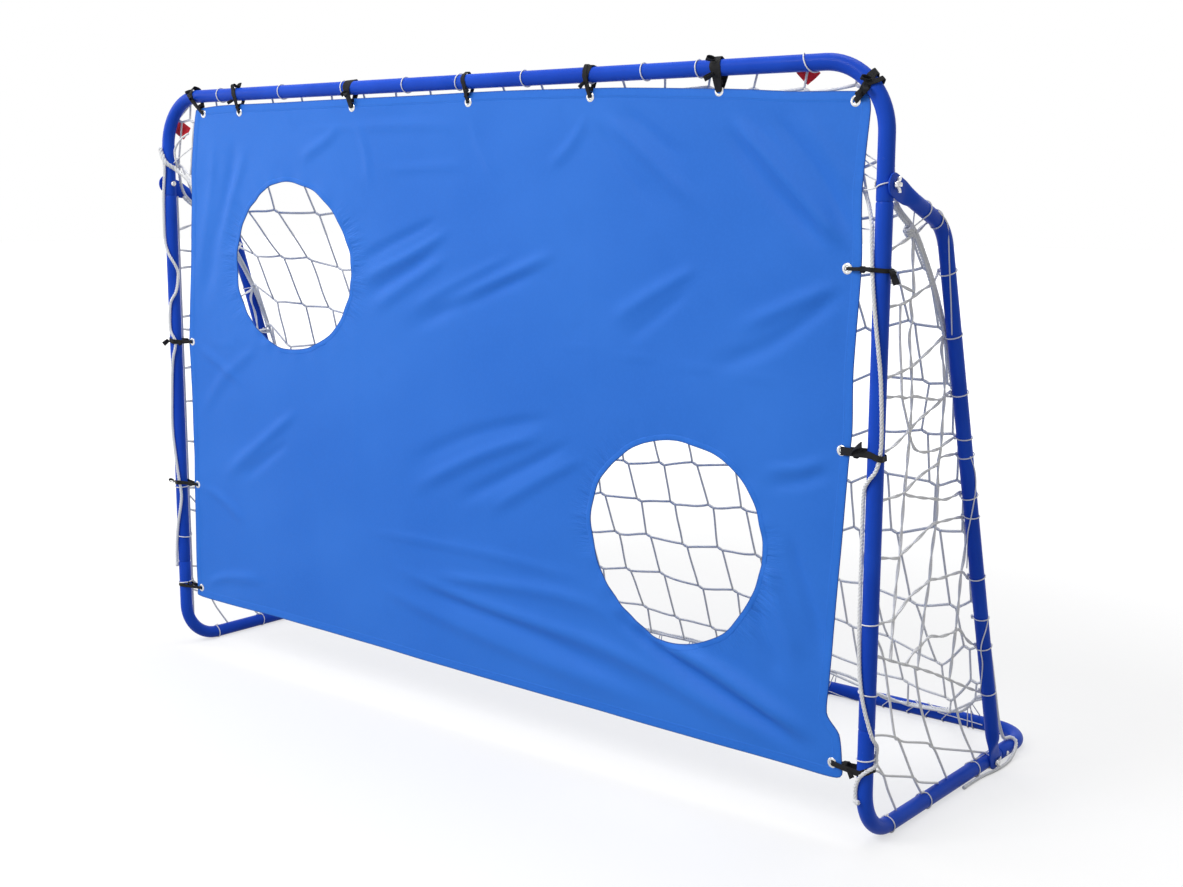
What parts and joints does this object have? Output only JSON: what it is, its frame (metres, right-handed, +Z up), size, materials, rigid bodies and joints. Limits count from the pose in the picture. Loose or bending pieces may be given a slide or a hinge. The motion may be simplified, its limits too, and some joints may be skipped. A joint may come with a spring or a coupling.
{
  "type": "training goal",
  "caption": "Free-standing training goal: round tube frame with folding back stays, a net, and a cloth target screen with round holes.",
  "frame": {"origin": "on the floor, under the middle of the tube frame", "axes": "+X across the mouth towards the right post seen from the front, +Y away from the shooting side towards the rear bar, +Z up"},
  "size_m": [2.1908, 0.8117, 1.5024],
  "materials": {
    "blue_paint": "glossy deep blue powder coat on steel tube",
    "screen_cloth": "mid-blue coated polyester cloth",
    "net_twine": "white knotted twine",
    "edge_rope": "white braided edge rope",
    "nickel": "bright plated steel",
    "black_web": "black woven tape",
    "red_tag": "plain red cloth tag"
  },
  "bodies": {
    "frame": {"corner_rope_left": "edge_rope", "corner_rope_right": "edge_rope", "corner_tag_left": "red_tag", "corner_tag_right": "red_tag", "eyelet_01": "nickel", "eyelet_02": "nickel", "eyelet_03": "nickel", "eyelet_04": "nickel", "eyelet_05": "nickel", "eyelet_06": "nickel", "eyelet_07": "nickel", "eyelet_08": "nickel", "eyelet_09": "nickel", "eyelet_10": "nickel", "eyelet_11": "nickel", "eyelet_12": "nickel", "eyelet_13": "nickel", "foot_bolt_left": "nickel", "foot_bolt_right": "nickel", "ground_bar_left": "blue_paint", "ground_bar_right": "blue_paint", "hem_rope": "edge_rope", "joint_screw_left": "nickel", "joint_screw_right": "nickel", "net_back": "net_twine", "net_side_left": "net_twine", "net_side_right": "net_twine", "pivot_bolt_left": "nickel", "pivot_bolt_right": "nickel", "post_left": "blue_paint", "post_right": "blue_paint", "post_rope_left": "edge_rope", "post_rope_right": "edge_rope", "rear_bar_left": "blue_paint", "rear_bar_right": "blue_paint", "strap_01": "black_web", "strap_02": "black_web", "strap_03": "black_web", "strap_04": "black_web", "strap_05": "black_web", "strap_06": "black_web", "strap_07": "black_web", "strap_08": "black_web", "strap_09": "black_web", "strap_10": "black_web", "strap_11": "black_web", "strap_12": "black_web", "strap_13": "black_web", "target_screen": "screen_cloth", "top_bar_left": "blue_paint", "top_bar_right": "blue_paint"},
    "foot_wing_nut_left_body": {"foot_wing_nut_left": "nickel"},
    "foot_wing_nut_right_body": {"foot_wing_nut_right": "nickel"},
    "pivot_wing_nut_left_body": {"pivot_wing_nut_left": "nickel"},
    "pivot_wing_nut_right_body": {"pivot_wing_nut_right": "nickel"},
    "stay_left_body": {"stay_left": "blue_paint"},
    "stay_right_body": {"stay_right": "blue_paint"}
  },
  "joints": [
    {"name": "stay_left_pivot", "type": "hinge", "parent": "frame", "child": "stay_left_body", "pos_m": [-1.0772, -0.384, 1.263], "axis": [1, 0, 0], "range_deg": [0, 80]},
    {"name": "pivot_wing_nut_left_turn", "type": "hinge", "parent": "frame", "child": "pivot_wing_nut_left_body", "pos_m": [-1.0794, -0.384, 1.263], "axis": [-1, 0, 0], "continuous": true},
    {"name": "foot_wing_nut_left_turn", "type": "hinge", "parent": "stay_left_body", "child": "foot_wing_nut_left_body", "pos_m": [-1.0794, 0.169, 0.016], "axis": [-1, 0, 0], "continuous": true},
    {"name": "stay_right_pivot", "type": "hinge", "parent": "frame", "child": "stay_right_body", "pos_m": [1.0772, -0.384, 1.263], "axis": [1, 0, 0], "range_deg": [0, 80]},
    {"name": "pivot_wing_nut_right_turn", "type": "hinge", "parent": "frame", "child": "pivot_wing_nut_right_body", "pos_m": [1.0794, -0.384, 1.263], "axis": [1, 0, 0], "continuous": true},
    {"name": "foot_wing_nut_right_turn", "type": "hinge", "parent": "stay_right_body", "child": "foot_wing_nut_right_body", "pos_m": [1.0794, 0.169, 0.016], "axis": [1, 0, 0], "continuous": true}
  ]
}
